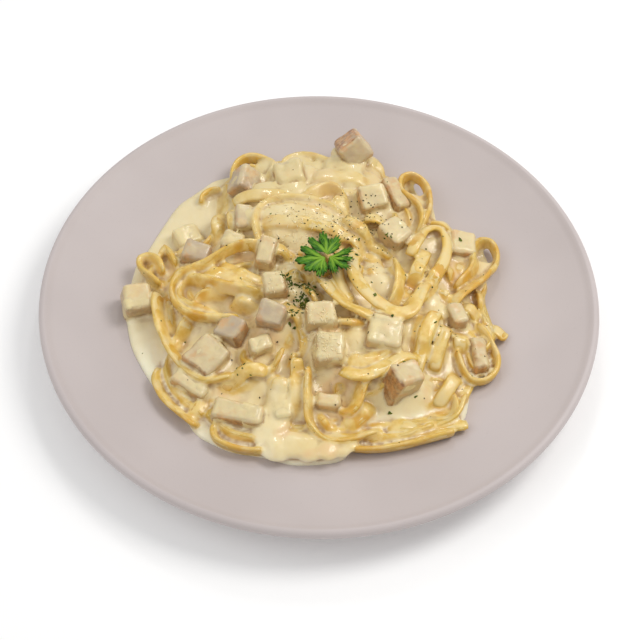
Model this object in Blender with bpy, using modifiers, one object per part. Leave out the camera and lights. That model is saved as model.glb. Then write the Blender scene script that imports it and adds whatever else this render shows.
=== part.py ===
"""Fettuccine alfredo on its plate: plate, cream sauce, noodle heap, chicken dice and parsley."""
import math

import bmesh
import bpy
from mathutils import Euler, Matrix, Vector

MM = 0.001
GAP = 0.3

# Plate, in millimetres: a coupe with a round lip and a foot ring
PLATE_RADIUS = 135.0
PLATE_FLOOR = 7.5
FLOOR_RADIUS = 78.0
LIP_RADIUS = 2.4
LIP_HEIGHT = 19.1
FOOT_OUTER = 80.0
FOOT_INNER = 71.0
FOOT_HEIGHT = 3.0
PLATE_WALL = 4.6
PLATE_STEPS = 64

# Cream sauce: outline radius every 15 degrees, counter-clockwise from +X
SAUCE_TOP = 11.0
SAUCE_RADII = [76.0, 78.0, 78.0, 75.0, 76.0, 82.0, 86.0, 88.0, 97.0, 98.0, 95.0, 94.0,
               95.0, 94.0, 94.0, 94.0, 94.0, 92.0, 93.0, 88.0, 86.0, 86.0, 82.0, 80.0]
SAUCE_RINGS = [0.0, 0.8, 0.94, 1.0]

# Noodle heap: outline radius every 15 degrees, crown height and edge heights
HEAP_RADII = [79.0, 81.0, 79.0, 77.0, 82.0, 88.0, 90.0, 91.0, 91.0, 76.0, 72.0, 75.0,
              79.0, 81.0, 83.0, 86.0, 88.0, 86.0, 85.0, 87.0, 90.0, 84.0, 87.0, 84.0]
HEAP_BOTTOM = 11.3
HEAP_RISE = 29.0
HEAP_RINGS = [0.0, 0.15, 0.3, 0.45, 0.6, 0.75, 0.87, 0.95, 1.0]
HEAP_VOXEL = 1.6
HEAP_FACES = 3300

NOODLE_WIDTH = 7.0
NOODLE_THICK = 3.0

# Noodles that stand out of the heap: lift over the heap, upright or flat, then the way it runs
STRANDS = [
    (0.5, True, [(-24, 22), (-40, 17), (-55, 9), (-68, 4), (-71, -4), (-62, -17), (-48, -22), (-34, -20)]),
    (0.5, True, [(-76, 2), (-77, -14), (-73, -27), (-62, -46), (-50, -54), (-36, -49)]),
    (-0.5, True, [(-74, 8), (-84, 8), (-90, 15), (-89, 22), (-83, 22), (-76, 12)]),
    (-1.5, True, [(-46, 72), (-46, 84), (-38, 92), (-28, 90), (-22, 80)]),
    (-1.5, True, [(-26, 78), (-18, 89), (-8, 92), (4, 86), (14, 76)]),
    (0.5, True, [(-28, 22), (-32, 38), (-26, 50), (-12, 52), (4, 47), (12, 38)]),
    (-2.5, True, [(40, 56), (40, 74), (47, 82), (54, 74), (55, 60), (50, 40)]),
    (0.0, False, [(44, 16), (52, 34), (60, 38), (64, 28), (58, 6), (48, -12)]),
    (-2.0, True, [(68, 4), (78, 26), (84, 38), (89, 32), (86, 18), (74, 2)]),
    (2.5, False, [(15, 16), (16, -2), (26, -16), (38, -21), (42, -8), (38, 12)]),
    (2.0, False, [(0, -2), (6, -13), (20, -20), (32, -22)]),
    (0.5, True, [(2, -52), (18, -55), (32, -50), (46, -36)]),
    (0.5, False, [(62, -2), (78, -12), (88, -20), (90, -22)]),
    (-0.5, True, [(66, -32), (70, -45), (79, -47), (85, -37), (82, -22)]),
    (0.0, False, [(30, -72), (45, -74), (60, -74), (70, -71)]),
    (1.0, False, [(-8, -84), (10, -85), (32, -84), (52, -80), (64, -68)]),
    (1.5, False, [(-6, -48), (-6, -66), (0, -80), (14, -81), (30, -74)]),
    (1.0, True, [(-62, -70), (-50, -64), (-38, -54), (-24, -50)]),
    (0.5, True, [(-75, -44), (-72, -58), (-60, -71), (-50, -78)]),
    (0.5, False, [(-46, -70), (-45, -82), (-32, -87), (-18, -86)]),
    (1.0, False, [(60, 0), (58, -20), (52, -40), (40, -56), (26, -70)]),
    (1.0, False, [(66, -6), (66, -24), (62, -46), (48, -62), (40, -74)]),
]

# Diced chicken: edges softened, one end narrower
BLOCK_SOFT = 1.4
BLOCK_NARROW = 0.9

# Each piece: centre over the plate, height of the centre, size, turn and two tilts in degrees
CHICKEN = [
    (16.5, 90, 25.5, 16, 18, 14, 25, -30, -28),
    (-38, 69, 19, 17, 16, 13, -10, 5, 35),
    (-16, 72.5, 22.5, 16, 14, 12, 12, 12, -8),
    (-67, 37.2, 13, 15, 13, 8, 30, 4, 6),
    (-61, 20, 19.5, 15, 12, 14, -14, 8, 10),
    (-43, 25.5, 23, 12, 11, 12, -12, 14, 6),
    (-38, 40, 25, 10, 15, 10, 4, 8, 0),
    (-88, -6, 16, 15, 15, 13, 14, 12, 6),
    (-26, 13.5, 30.5, 10, 16, 10, -10, 14, 6),
    (-21, -8.5, 32.5, 12, 12, 12, 8, 18, -8),
    (-22, -26.2, 32, 14, 12, 13, -18, 20, 6),
    (-41, -29.5, 25, 14, 13, 11, -28, 10, -4),
    (-27, -38.5, 25.5, 12, 9, 8, 24, 8, 4),
    (-52, -42.3, 19.8, 18, 18.5, 13, -38, 8, 10),
    (-59, -55.5, 16, 21, 8, 8, -34, 2, 6),
    (-36, -70.6, 16.4, 26, 11, 9, -12, 6, 0),
    (-16, -69.5, 15.5, 10, 10, 9, 12, 0, 0),
    (1, -25.5, 31.5, 15, 13, 11, 4, 8, 0),
    (5, -42, 27.5, 14, 16, 12, 2, 14, 4),
    (31, -32, 26.5, 17.5, 16.5, 12, -10, 10, 6),
    (38.5, -57, 23, 16, 12.5, 21, 30, 6, 14),
    (5, -64.5, 18, 12, 8, 8, -4, 6, 0),
    (66, -14.5, 18.5, 9, 13, 9, 18, 0, 8),
    (76, -33.7, 13.3, 8, 20, 8, 4, 0, 4),
    (71, 30.5, 18, 14, 15, 10, -2, 2, 8),
    (36.5, 30, 26.5, 14, 15, 11, 44, 6, 4),
    (26.2, 55, 25, 15.5, 14, 11.5, 14, 22, -6),
    (37.9, 62, 20.5, 10, 22, 8.5, 24, 3, 15),
]

SPRIG_CENTRE = (3.0, 5.5)
SPRIG_BOTTOM = 38.0
SPRIG_THICK = 1.2
SPRIG_LEAFLETS = [(96.0, 14.5, 44.0), (207.0, 15.0, 58.0), (335.0, 13.5, 54.0)]
SPRIG_POINTS = 96


def collection(name):
    made = bpy.data.collections.new(name)
    bpy.context.scene.collection.children.link(made)
    return made


def material(name, colour, roughness):
    made = bpy.data.materials.new(name)
    made.use_nodes = True
    shader = made.node_tree.nodes["Principled BSDF"]
    shader.inputs["Base Color"].default_value = (*colour, 1.0)
    shader.inputs["Roughness"].default_value = roughness
    return made


def mesh_object(name, points, faces, where, look=None):
    mesh = bpy.data.meshes.new(name)
    mesh.from_pydata([Vector(p) * MM for p in points], [], faces)
    mesh.validate()
    made = bpy.data.objects.new(name, mesh)
    where.objects.link(made)
    if look:
        mesh.materials.append(look)
    face_outwards(made)
    return made


def face_outwards(made):
    work = bmesh.new()
    work.from_mesh(made.data)
    bmesh.ops.recalc_face_normals(work, faces=work.faces)
    work.to_mesh(made.data)
    work.free()


def as_cutter(made):
    made.hide_render = True
    made.display_type = "WIRE"
    return made


def evaluate(made):
    """The object's own mesh with its modifiers applied."""
    graph = bpy.context.evaluated_depsgraph_get()
    mesh = bpy.data.meshes.new_from_object(made.evaluated_get(graph))
    made.modifiers.clear()
    made.data = mesh


def subtract(made, cutters):
    for cutter in cutters:
        cut = made.modifiers.new("cut", "BOOLEAN")
        cut.operation = "DIFFERENCE"
        cut.solver = "EXACT"
        cut.object = cutter


def around(radii, angle):
    """Outline radius at an angle, smoothly between the listed ones."""
    step = 2 * math.pi / len(radii)
    at = (angle % (2 * math.pi)) / step
    low = int(at) % len(radii)
    t = at - int(at)
    a, b, c, d = (radii[(low + k) % len(radii)] for k in (-1, 0, 1, 2))
    return b + 0.5 * t * (c - a + t * (2 * a - 5 * b + 4 * c - d + t * (3 * (b - c) + d - a)))


def plate_top(radius):
    rise = max(0.0, (radius - FLOOR_RADIUS) / (PLATE_RADIUS - LIP_RADIUS - FLOOR_RADIUS))
    return PLATE_FLOOR + (LIP_HEIGHT + LIP_RADIUS - 0.5 - PLATE_FLOOR) * min(rise, 1.0) ** 2


def heap_top(x, y):
    """Height of the domed heap over the table."""
    edge = 8.0 + 5.0 * y / 90.0
    inside = max(0.0, 1.0 - ((x + 3.0) / 96.0) ** 2 - ((y + 1.0) / 94.0) ** 2)
    return PLATE_FLOOR + edge + (HEAP_RISE - edge) * inside


def plate_profile():
    lip_centre = PLATE_RADIUS - LIP_RADIUS
    top = [(0.0, PLATE_FLOOR)] + [(r, plate_top(r)) for r in (78.0, 92.0, 105.0, 117.0, 127.0)]
    lip = [(lip_centre + LIP_RADIUS * math.cos(math.radians(a)),
            LIP_HEIGHT + LIP_RADIUS * math.sin(math.radians(a))) for a in (108, 54, 0, -36, -70)]
    under = [(r, plate_top(r) - PLATE_WALL) for r in (112.0, 94.0)]
    foot = [(FOOT_OUTER + 1.0, PLATE_FLOOR - PLATE_WALL), (FOOT_OUTER - 1.0, 0.0),
            (FOOT_INNER + 1.0, 0.0), (FOOT_INNER, FOOT_HEIGHT), (0.0, FOOT_HEIGHT)]
    return top + lip + under + foot


def make_plate(where, look):
    points = [Vector((r, 0.0, z)) * MM for r, z in plate_profile()]
    mesh = bpy.data.meshes.new("plate")
    mesh.from_pydata(points, [(i, i + 1) for i in range(len(points) - 1)], [])
    made = bpy.data.objects.new("plate", mesh)
    where.objects.link(made)
    turn = made.modifiers.new("turn", "SCREW")
    turn.axis = "Z"
    turn.steps = PLATE_STEPS
    turn.render_steps = PLATE_STEPS
    turn.use_merge_vertices = True
    turn.merge_threshold = 0.00001
    evaluate(made)
    made.data.materials.append(look)
    face_outwards(made)
    return made


def disc(name, rings, steps, point_at, where, look=None):
    """A closed solid between an upper and a lower surface over rings and steps."""
    points = [point_at(0.0, 0.0, True), point_at(0.0, 0.0, False)]
    index = {}
    for top in (True, False):
        for ring in rings[1:] if top else rings[1:-1]:
            for step in range(steps):
                index[ring, step, top] = len(points)
                points.append(point_at(ring, 2 * math.pi * step / steps, top))
    outer = rings[-1]
    faces = []
    for top in (True, False):
        def corner(ring, step, top=top):
            return index[ring, step % steps, top or ring == outer]
        for step in range(steps):
            faces.append((0 if top else 1, corner(rings[1], step), corner(rings[1], step + 1)))
            for a, b in zip(rings[1:-1], rings[2:]):
                faces.append((corner(a, step), corner(b, step), corner(b, step + 1), corner(a, step + 1)))
    return mesh_object(name, points, faces, where, look)


def sauce_point(ring, angle, top):
    radius = ring * around(SAUCE_RADII, angle)
    under = plate_top(radius) + GAP
    if not top:
        z = under
    elif ring == 1.0:
        z = under + 0.5
    else:
        z = max(SAUCE_TOP - 1.6 * max(0.0, ring - 0.8) / 0.185, under + 1.4)
    return (radius * math.cos(angle), radius * math.sin(angle), z)


def make_sauce(where, look):
    return disc("cream_sauce", SAUCE_RINGS, 36, sauce_point, where, look)


def heap_point(ring, angle, top):
    radius = ring * around(HEAP_RADII, angle)
    x, y = radius * math.cos(angle), radius * math.sin(angle)
    if not top:
        z = HEAP_BOTTOM - 3.0
    elif ring == 1.0:
        z = HEAP_BOTTOM - 1.0
    else:
        z = heap_top(x, y) - 1.5 - 2.0 * max(0.0, ring - 0.8)
    return (x, y, max(z, HEAP_BOTTOM + 1.0) if top and ring < 1.0 else z)


def noodle(lift, upright, way, where):
    """One flat noodle as a mesh, standing on its edge or lying on the heap."""
    curve = bpy.data.curves.new("noodle", "CURVE")
    curve.dimensions = "3D"
    curve.twist_mode = "Z_UP"
    curve.resolution_u = 6
    curve.extrude = (NOODLE_WIDTH - NOODLE_THICK) / 2 * MM
    curve.bevel_depth = NOODLE_THICK / 2 * MM
    curve.bevel_resolution = 1
    curve.use_fill_caps = True
    spline = curve.splines.new("BEZIER")
    spline.bezier_points.add(len(way) - 1)
    for point, (x, y) in zip(spline.bezier_points, way):
        point.co = Vector((x, y, heap_top(x, y) + lift)) * MM
        point.handle_left_type = "AUTO"
        point.handle_right_type = "AUTO"
        point.tilt = 0.0 if upright else math.pi / 2
    drawn = bpy.data.objects.new("noodle", curve)
    where.objects.link(drawn)
    graph = bpy.context.evaluated_depsgraph_get()
    mesh = bpy.data.meshes.new_from_object(drawn.evaluated_get(graph))
    bpy.data.objects.remove(drawn)
    work = bmesh.new()
    work.from_mesh(mesh)
    bmesh.ops.remove_doubles(work, verts=work.verts, dist=0.00001)
    bmesh.ops.recalc_face_normals(work, faces=work.faces)
    work.to_mesh(mesh)
    work.free()
    return mesh


def cube(name, size, where, look=None):
    mesh = bpy.data.meshes.new(name)
    work = bmesh.new()
    bmesh.ops.create_cube(work, size=1.0)
    bmesh.ops.scale(work, vec=Vector(size) * MM, verts=work.verts)
    work.to_mesh(mesh)
    work.free()
    made = bpy.data.objects.new(name, mesh)
    where.objects.link(made)
    if look:
        mesh.materials.append(look)
    return made


def box_cutter(name, low, high, where):
    made = cube(name, Vector(high) - Vector(low), where)
    made.location = (Vector(high) + Vector(low)) / 2 * MM
    return as_cutter(made)


def chicken_matrix(row):
    x, y, z = row[:3]
    turn, tip, lean = (math.radians(v) for v in row[6:])
    return Matrix.Translation(Vector((x, y, z)) * MM) @ Euler((tip, lean, turn)).to_matrix().to_4x4()


def block(name, row, spare, where, look=None):
    """A hand-cut block, a little narrower at one end, with softened edges."""
    made = cube(name, [side + 2 * spare for side in row[3:6]], where, look)
    length = (row[3] + 2 * spare) * MM
    for vertex in made.data.vertices:
        vertex.co.x *= BLOCK_NARROW if vertex.co.z > 0 else 1.0
        vertex.co.y *= 1.0 - (1.0 - BLOCK_NARROW) * (vertex.co.x / length + 0.5)
    soft = made.modifiers.new("soften", "BEVEL")
    soft.width = BLOCK_SOFT * MM
    soft.segments = 1
    made.matrix_world = chicken_matrix(row)
    return made


def make_chicken(where, look):
    for number, row in enumerate(CHICKEN, 1):
        block("chicken_%02d" % number, row, 0.0, where, look)


def chicken_rooms(where):
    """The dice again, larger by the gap, to cut the room they lie in."""
    return [as_cutter(block("room_%02d" % number, row, GAP, where)) for number, row in enumerate(CHICKEN, 1)]


def keep_largest(made):
    """Only the biggest connected body of the object stays."""
    work = bmesh.new()
    work.from_mesh(made.data)
    left = set(work.verts)
    bodies = []
    while left:
        found = {left.pop()}
        edge = list(found)
        while edge:
            near = {e.other_vert(v) for v in edge for e in v.link_edges}
            edge = list(near - found)
            found |= near
        left -= found
        bodies.append(found)
    bodies.sort(key=len)
    loose = [v for body in bodies[:-1] for v in body]
    bmesh.ops.delete(work, geom=loose, context="VERTS")
    work.to_mesh(made.data)
    work.free()


def heap_body(where):
    """Mound and standing noodles together in one mesh, ready to grow one skin."""
    made = disc("noodle_heap", HEAP_RINGS, 48, heap_point, where)
    work = bmesh.new()
    work.from_mesh(made.data)
    for lift, upright, way in STRANDS:
        work.from_mesh(noodle(lift, upright, way, where))
    work.to_mesh(made.data)
    work.free()
    return made


def make_heap(where, cutters, look, rooms):
    made = heap_body(where)
    skin = made.modifiers.new("skin", "REMESH")
    skin.mode = "VOXEL"
    skin.voxel_size = HEAP_VOXEL * MM
    soft = made.modifiers.new("soft", "SMOOTH")
    soft.factor = 0.5
    soft.iterations = 2
    evaluate(made)
    thin = made.modifiers.new("thin", "DECIMATE")
    thin.ratio = HEAP_FACES / (2 * len(made.data.polygons))
    evaluate(made)
    subtract(made, [box_cutter("heap_floor", (-150, -150, -20), (150, 150, HEAP_BOTTOM), cutters),
                    box_cutter("sprig_seat", (-18, -14, SPRIG_BOTTOM - GAP), (24, 28, 60), cutters)])
    subtract(made, rooms)
    evaluate(made)
    keep_largest(made)
    made.data.materials.clear()
    made.data.materials.append(look)
    return made


def sprig_radius(angle):
    """Frilled outline of three leaflets around the stem."""
    reach = 2.6
    degrees = math.degrees(angle)
    for at, length, half in SPRIG_LEAFLETS:
        off = abs((degrees - at + 180.0) % 360.0 - 180.0) / half
        if off < 1.0:
            frill = 1.0 - 0.16 * abs(math.sin(math.radians(degrees - at) * 5.0))
            reach = max(reach, length * frill * math.cos(off * math.pi / 2) ** 0.35)
    return reach


def sprig_point(ring, angle, top):
    radius = ring * sprig_radius(angle)
    curl = 2.4 * (radius / 15.0) - 3.0 * (radius / 15.0) ** 2
    if not top:
        z = SPRIG_BOTTOM + 0.9 + curl
    elif ring == 1.0:
        z = SPRIG_BOTTOM + 0.9 + curl + SPRIG_THICK / 2
    else:
        z = SPRIG_BOTTOM + 0.9 + curl + SPRIG_THICK
    x, y = SPRIG_CENTRE
    return (x + radius * math.cos(angle), y + radius * math.sin(angle), z)


def make_sprig(where, look):
    return disc("parsley_sprig", [0.0, 0.5, 0.96, 1.0], SPRIG_POINTS // 2, sprig_point, where, look)


def main():
    for old in list(bpy.data.objects):
        bpy.data.objects.remove(old)
    parts = collection("fettuccine_alfredo")
    cutters = collection("cutters")
    make_plate(parts, material("greige_glaze", (0.62, 0.56, 0.53), 0.35))
    sauce = make_sauce(parts, material("cream_sauce", (0.86, 0.78, 0.50), 0.3))
    make_chicken(parts, material("chicken", (0.78, 0.64, 0.46), 0.45))
    rooms = chicken_rooms(cutters)
    subtract(sauce, [rooms[1], rooms[3], rooms[7]])
    evaluate(sauce)
    make_heap(parts, cutters, material("pasta", (0.84, 0.67, 0.30), 0.35), rooms)
    make_sprig(parts, material("parsley", (0.08, 0.24, 0.02), 0.5))


main()
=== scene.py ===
"""Looks of the plated fettuccine alfredo: noodles, cream, chicken, parsley and plate round the frame."""

import math
import random

import bmesh
import bpy
import numpy as np
import openvdb
from mathutils import Matrix, Vector, noise
from mathutils.bvhtree import BVHTree


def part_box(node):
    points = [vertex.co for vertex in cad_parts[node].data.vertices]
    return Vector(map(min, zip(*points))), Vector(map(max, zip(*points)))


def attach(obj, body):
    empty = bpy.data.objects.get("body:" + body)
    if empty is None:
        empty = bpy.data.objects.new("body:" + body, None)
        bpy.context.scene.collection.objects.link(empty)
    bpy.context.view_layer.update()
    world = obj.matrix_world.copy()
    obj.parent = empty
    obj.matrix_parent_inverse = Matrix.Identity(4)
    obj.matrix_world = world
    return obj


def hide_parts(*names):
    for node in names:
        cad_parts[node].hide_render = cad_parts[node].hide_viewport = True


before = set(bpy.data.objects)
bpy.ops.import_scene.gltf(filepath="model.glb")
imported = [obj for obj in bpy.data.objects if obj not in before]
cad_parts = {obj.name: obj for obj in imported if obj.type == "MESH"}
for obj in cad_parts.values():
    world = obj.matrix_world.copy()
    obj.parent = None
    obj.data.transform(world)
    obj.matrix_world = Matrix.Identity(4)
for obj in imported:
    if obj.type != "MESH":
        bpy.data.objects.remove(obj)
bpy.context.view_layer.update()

MM = 0.001
SEED = 11

# Camera: height above level and roll in degrees, distance and target in metres
VIEW_ELEVATION = 52.5
VIEW_ROLL = 0.9
VIEW_DISTANCE = 0.650
VIEW_TARGET = (0.0005, -0.015, 0.015)
VIEW_LENS = 76.0
VIEW_SENSOR = 36.0

# Light: name, place and size in metres, power in watts and colour; every light aims at LIGHT_AIM
LIGHTS = [("key", (0.50, 0.16, 0.72), 0.42, 3.5, (1.0, 0.985, 0.96)),
          ("fill", (-0.6, -0.2, 0.75), 0.8, 1.6, (1.0, 1.0, 1.0)),
          ("glint", (0.05, 0.55, 0.65), 0.1, 0.5, (1.0, 1.0, 1.0))]
LIGHT_AIM = (0.0, 0.0, 0.02)
WORLD_STRENGTH = 0.6
TABLE_REACH = 1500.0
TABLE_GLOW = 0.06

# Plate, in millimetres
PLATE_RADIUS = 135.0
PLATE_FLOOR = 7.5
FLOOR_RADIUS = 78.0
LIP_RADIUS = 2.4
LIP_HEIGHT = 19.1
FOOT_OUTER = 80.0
FOOT_INNER = 71.0
FOOT_HEIGHT = 3.0
PLATE_WALL = 4.6
PLATE_STEPS = 288

# Domed heap, in millimetres: it is higher at its far edge
DOME_CENTRE = (-3.0, -1.0)
DOME_REACH = (96.0, 94.0)
DOME_RISE = 29.0
EDGE_RISE = 8.0
EDGE_TILT = 5.0 / 90.0
SLANT = 1.0 / math.tan(math.radians(VIEW_ELEVATION))

# Noodles, in millimetres
NOODLE_WIDTH = 6.8
NOODLE_THICK = 2.7
NOODLE_SINK = -0.3
NOODLE_STEP = 1.6
NOODLE_SIDES = 10
NOODLE_GAP = 0.15
NOODLE_CLEAR = 0.4
DIP_REACH = 2
END_DIP = 3.0
END_REACH = 8.0
DICE_HIDE = 0.8
DICE_COLLAR = 1.2

# How a noodle's width and thickness swell and waver: length of the waves and their share
NOODLE_SWELL = (22.0, 0.10)
NOODLE_RIPPLE = (9.0, 0.15)
NOODLE_TWIST = 0.55
NOODLE_CUP = (-0.5, 0.7)

# Height maps: half their side, the height that stands for nothing there, the height from which rays
# look down, and how far over the dome the noodles may rise
MAP_HALF = 120
NOWHERE = 1e3
SKY = 80.0
HEADROOM = 8.0

# Each noodle: height of its top over the dome, leans along its length in degrees (0 flat, 90 on edge
# with its face to its left), whether it passes over the chicken, and its way over the heap
STRANDS = [
    (1.8, (70, 80, 85, 85, 65), True, [(-29, 20), (-40, 19), (-48, 15), (-55, 10), (-62, 7.5), (-68, 4),
     (-71, -3), (-69, -11), (-64, -17), (-57, -21), (-48, -23), (-39, -22)]),
    (1.8, (15, 0, 5, 20), True, [(17, 13), (15.5, 5), (17, -3), (21, -10), (27, -16), (34, -20), (41, -20.5),
     (45, -16), (48, -8), (51, 0)]),
    (1.0, (75,), True, [(9, 43), (3, 47), (-5, 50), (-13, 52), (-21, 51.5), (-28, 48), (-31.5, 41),
     (-32, 32), (-30, 24)]),
    (1.5, (10, 55, 20, 10), True, [(44, 18), (48, 27), (51, 34), (56, 39), (61, 37), (63, 30), (62, 20),
     (58, 9), (53, 0), (47, -9), (42, -17)]),
    (0.5, (80,), True, [(49, 38), (53, 46), (55.5, 56), (55.5, 66), (53, 75), (47.5, 79.5), (42.5, 77),
     (41, 70), (42, 64), (46, 59), (50, 53), (51, 45), (49, 37)]),
    (0.0, (20, 75, 80, 70), True, [(64, -8), (70, -1), (76, 6), (82, 13), (87, 21), (88.5, 29), (86, 36),
     (81, 36.5), (77.5, 31), (76.5, 24), (76, 18), (72, 10), (67, 3)]),
    (0.0, (80,), True, [(-28, 72), (-25.5, 79), (-26, 84.5), (-31, 89), (-38, 90.5), (-43.5, 87), (-46, 80),
     (-46, 72)]),
    (0.0, (75,), True, [(9, 76), (6, 82), (1, 87.5), (-6, 91), (-13, 91), (-18.5, 87), (-21, 81),
     (-22, 74)]),
    (1.2, (10, 15), True, [(11, -51), (16, -54), (22, -54), (29, -50.5), (35, -46), (40, -42.5), (45, -41)]),
    (1.0, (75, 60), True, [(-4, -50), (-4.5, -58), (-4.5, -66), (-4, -73), (0, -79), (6, -82.5), (13, -82),
     (20, -79.5), (28, -76)]),
    (0.0, (75, 80, 60), True, [(66, -34), (68, -42), (72, -47), (78, -47.5), (83, -43), (84.5, -36),
     (83, -29), (80, -23), (76, -17)]),
    (0.5, (80,), True, [(-77, 11), (-80, 17), (-84.5, 21), (-89, 20), (-88.5, 15), (-84, 9.5), (-78, 4)]),
    (0.5, (10, 20), True, [(66, -6), (72, -9), (79, -14), (85, -18), (90, -21)]),
    (0.5, (15, 25), True, [(33, -74), (42, -73.5), (52, -73), (61, -72.5), (68.5, -71.5)]),
    (1.2, (10,), False, [(9, 56), (10, 48), (12, 41), (16, 34), (22, 29), (29, 25), (35, 22)]),
    (0.6, (60,), False, [(37, 13), (38.5, 4), (38, -4), (36, -11), (33, -16)]),
    (0.5, (50, 35), False, [(11, 42), (11.5, 50), (10.5, 57), (6, 61.5), (0, 60), (-6, 56), (-11, 51)]),
    (1.3, (25, 35, 10), True, [(1, -2), (2, -5), (6, -12), (12, -18), (20, -21.5), (27, -23), (34, -22)]),
    (0.3, (40, 55), True, [(-78, -3), (-78, -11), (-76, -20), (-73, -29), (-68.5, -38), (-63, -46),
     (-56, -52), (-48, -54), (-40, -51)]),
    (0.5, (75,), False, [(-28, -11), (-38, -8.5), (-47, -5), (-54, -1.5), (-61, 1.5), (-66.5, -1),
     (-66.5, -8), (-62, -13.5), (-55, -17.5), (-47, -19.5), (-40, -18.5)]),
    (0.5, (-30, -20), False, [(-58, -73), (-55, -67), (-50.5, -62), (-45, -57.5), (-39, -54), (-32, -51.5),
     (-24, -51)]),
    (0.5, (5, 0), False, [(60, 0), (58.5, -9), (55, -18), (51, -28), (48, -38), (45, -48)]),
    (0.3, (5, 15), False, [(64, -3), (62.5, -14), (60, -24), (57, -34), (54, -44)]),
    (0.2, (10, 30), False, [(68, -18), (67, -28), (66.5, -38), (64, -47), (60, -55), (55, -62)]),
    (0.0, (50, 40), False, [(49, -50), (54, -47), (59.5, -48), (61, -53), (58, -59), (52, -63), (45, -67)]),
    (0.3, (30, 20), False, [(52, -46), (50, -54), (47, -61), (41, -67), (35, -72), (28, -77)]),
    (0.0, (75,), False, [(12, -85), (22, -86), (32, -85.3), (42, -83), (52, -80), (62, -77)]),
    (0.0, (75,), False, [(-44, -73), (-47, -77), (-45.5, -82), (-40, -85.5), (-33, -87.5), (-25, -88)]),
    (0.0, (60,), False, [(-33, -37), (-33.5, -43), (-30, -48), (-24, -49.5), (-19, -46.5), (-17.5, -41)]),
    (0.2, (40,), False, [(11, -55), (11, -63), (14, -69.5), (17.5, -66), (20, -59), (22, -53)]),
    (0.0, (50, 60), False, [(-74, -44), (-75, -50), (-72.5, -57), (-68, -63.5), (-62, -69), (-55, -75)]),
    (0.4, (-8,), False, [(-28, 35), (-18, 33), (-8, 32), (3, 29), (12, 24)]),
    (0.0, (0, 10), False, [(-10, 55), (-20, 55.5), (-30, 55.5), (-38, 55), (-44, 53)]),
    (0.2, (5, -5), False, [(-63, 8), (-56, 6), (-49, 3), (-42, -1), (-35, -5.5), (-28, -9)]),
    (0.0, (60,), False, [(-44, -7), (-51, -7), (-57, -9.5), (-57.5, -13.5), (-52, -16), (-45, -15)]),
    (-0.5, (0,), False, [(-52, 11), (-46, 8), (-40, 4), (-34, 1), (-28, 0)]),
    (-0.3, (40,), False, [(-59, -20), (-63.5, -25), (-66, -32), (-65, -39), (-61, -46)]),
    (-0.5, (60, 50), False, [(30, 72), (34, 75.5), (38, 73), (40.5, 65), (43, 56), (46, 47), (45, 38)]),
    (0.2, (10, 15), False, [(52, 22), (49, 12), (45.5, 2), (42, -7), (40, -15)]),
    (-0.5, (40,), False, [(6, -18), (9, -23.5), (14, -26.5), (19, -25), (22, -21)]),
    (-0.5, (-50,), False, [(-48, -71), (-44, -65), (-38, -60.5), (-32, -57), (-25, -55)]),
    (-0.5, (40, 10), False, [(-46, -63), (-39, -67), (-31, -69), (-24, -67.5), (-19, -62), (-17, -55)]),
    (0.9, (35, 20), True, [(12, -55), (19, -58), (27, -56), (35, -51), (43, -45.5)]),
    (0.9, (5,), True, [(-20, -46), (-20, -54), (-19, -62), (-19, -70)]),
    (0.6, (15,), True, [(-10, -45), (-9.5, -53), (-9, -61), (-9, -70)]),
    (0.8, (55,), True, [(10, -56), (6, -55.5), (3, -59), (4.5, -63.5), (9, -65), (12.5, -61.5)]),
    (0.0, (-20,), False, [(10, -80), (16, -74), (22, -68), (27, -62)]),
    (-0.3, (-15,), False, [(17, -82), (23, -76), (29, -70), (34, -64)]),
    (-0.8, (60,), False, [(-19, -76), (-17, -81), (-11, -84.5), (-4, -85), (4, -84.5)]),
    (-0.5, (30,), False, [(24, -80), (34, -79), (44, -77.5), (54, -76.5), (61, -75)]),
    (0.0, (5,), False, [(-8, 72), (0, 70), (8, 70), (17, 70), (24, 67)]),
    (-1.5, (30,), False, [(-43, 50), (-44, 42), (-43, 34), (-41, 28), (-36, 24)]),
    (-2.5, (20,), False, [(-37, 50), (-37, 42), (-36.5, 34), (-37, 27)]),
    (-0.5, (10,), False, [(56, -2), (53, -13), (49, -24), (46, -34), (44, -42)]),
    (-1.0, (50,), False, [(60, 16), (64, 10), (66, 2), (64, -6)]),
    (-0.5, (30, 60), False, [(46, -69.5), (53, -69), (60, -68.5), (63, -64), (62, -56)]),
    (-1.0, (10,), False, [(48, 22), (50, 12), (52, 2), (52, -8)]),
    (-1.0, (20,), False, [(-8, 62), (0, 64), (10, 63), (18, 62), (24, 58)]),
    (-1.0, (20,), False, [(-8, -50), (-9, -60), (-8, -70)]),
    (-1.0, (10,), False, [(70, -12), (76, -18), (82, -24)]),
    (-1.0, (10,), False, [(-4, 80), (4, 86), (13, 90), (22, 90), (29, 84), (31, 75)]),
    (-2.0, (40,), False, [(4, 88), (12, 94), (21, 95), (28, 90), (32, 82)]),
    (-11.5, (80,), False, [(-62, 53), (-61.5, 57), (-58, 61), (-53, 62.5)]),
]

# Noodles that fill the heap below those
BESIDE_OFF = (6.0, 8.5)
BESIDE_DROP = (0.4, 2.4)
BESIDE_WANDER = 0.8
BESIDE_LEAN = 25
FILL_COUNT = 130
FILL_TRIES = 14
FILL_DEPTH = (-0.5, 1.2)
FILL_RADIUS = (12.0, 34.0)
FILL_SWEEP = (1.2, 3.2)
FILL_SQUEEZE = (0.5, 1.0)
FILL_SPREAD = 0.85
FILL_LEANS = (0, 10, 20, 35, 60, 80)
FILL_TWIST = 70
FILL_HOLLOW = 2.2
FILL_INSET = 8.0

# Loops that stay open down to the plate: middle and reach
HOLES = [(48.5, 71.0, 5.0), (82.0, 29.0, 5.0)]
# Places where cream hides whatever noodles there are: middle and reach
CREAMY = [(-11, 38, 9.0), (1, 38, 8.0), (10, 72, 5.0), (28, -1, 5.0)]

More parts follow.
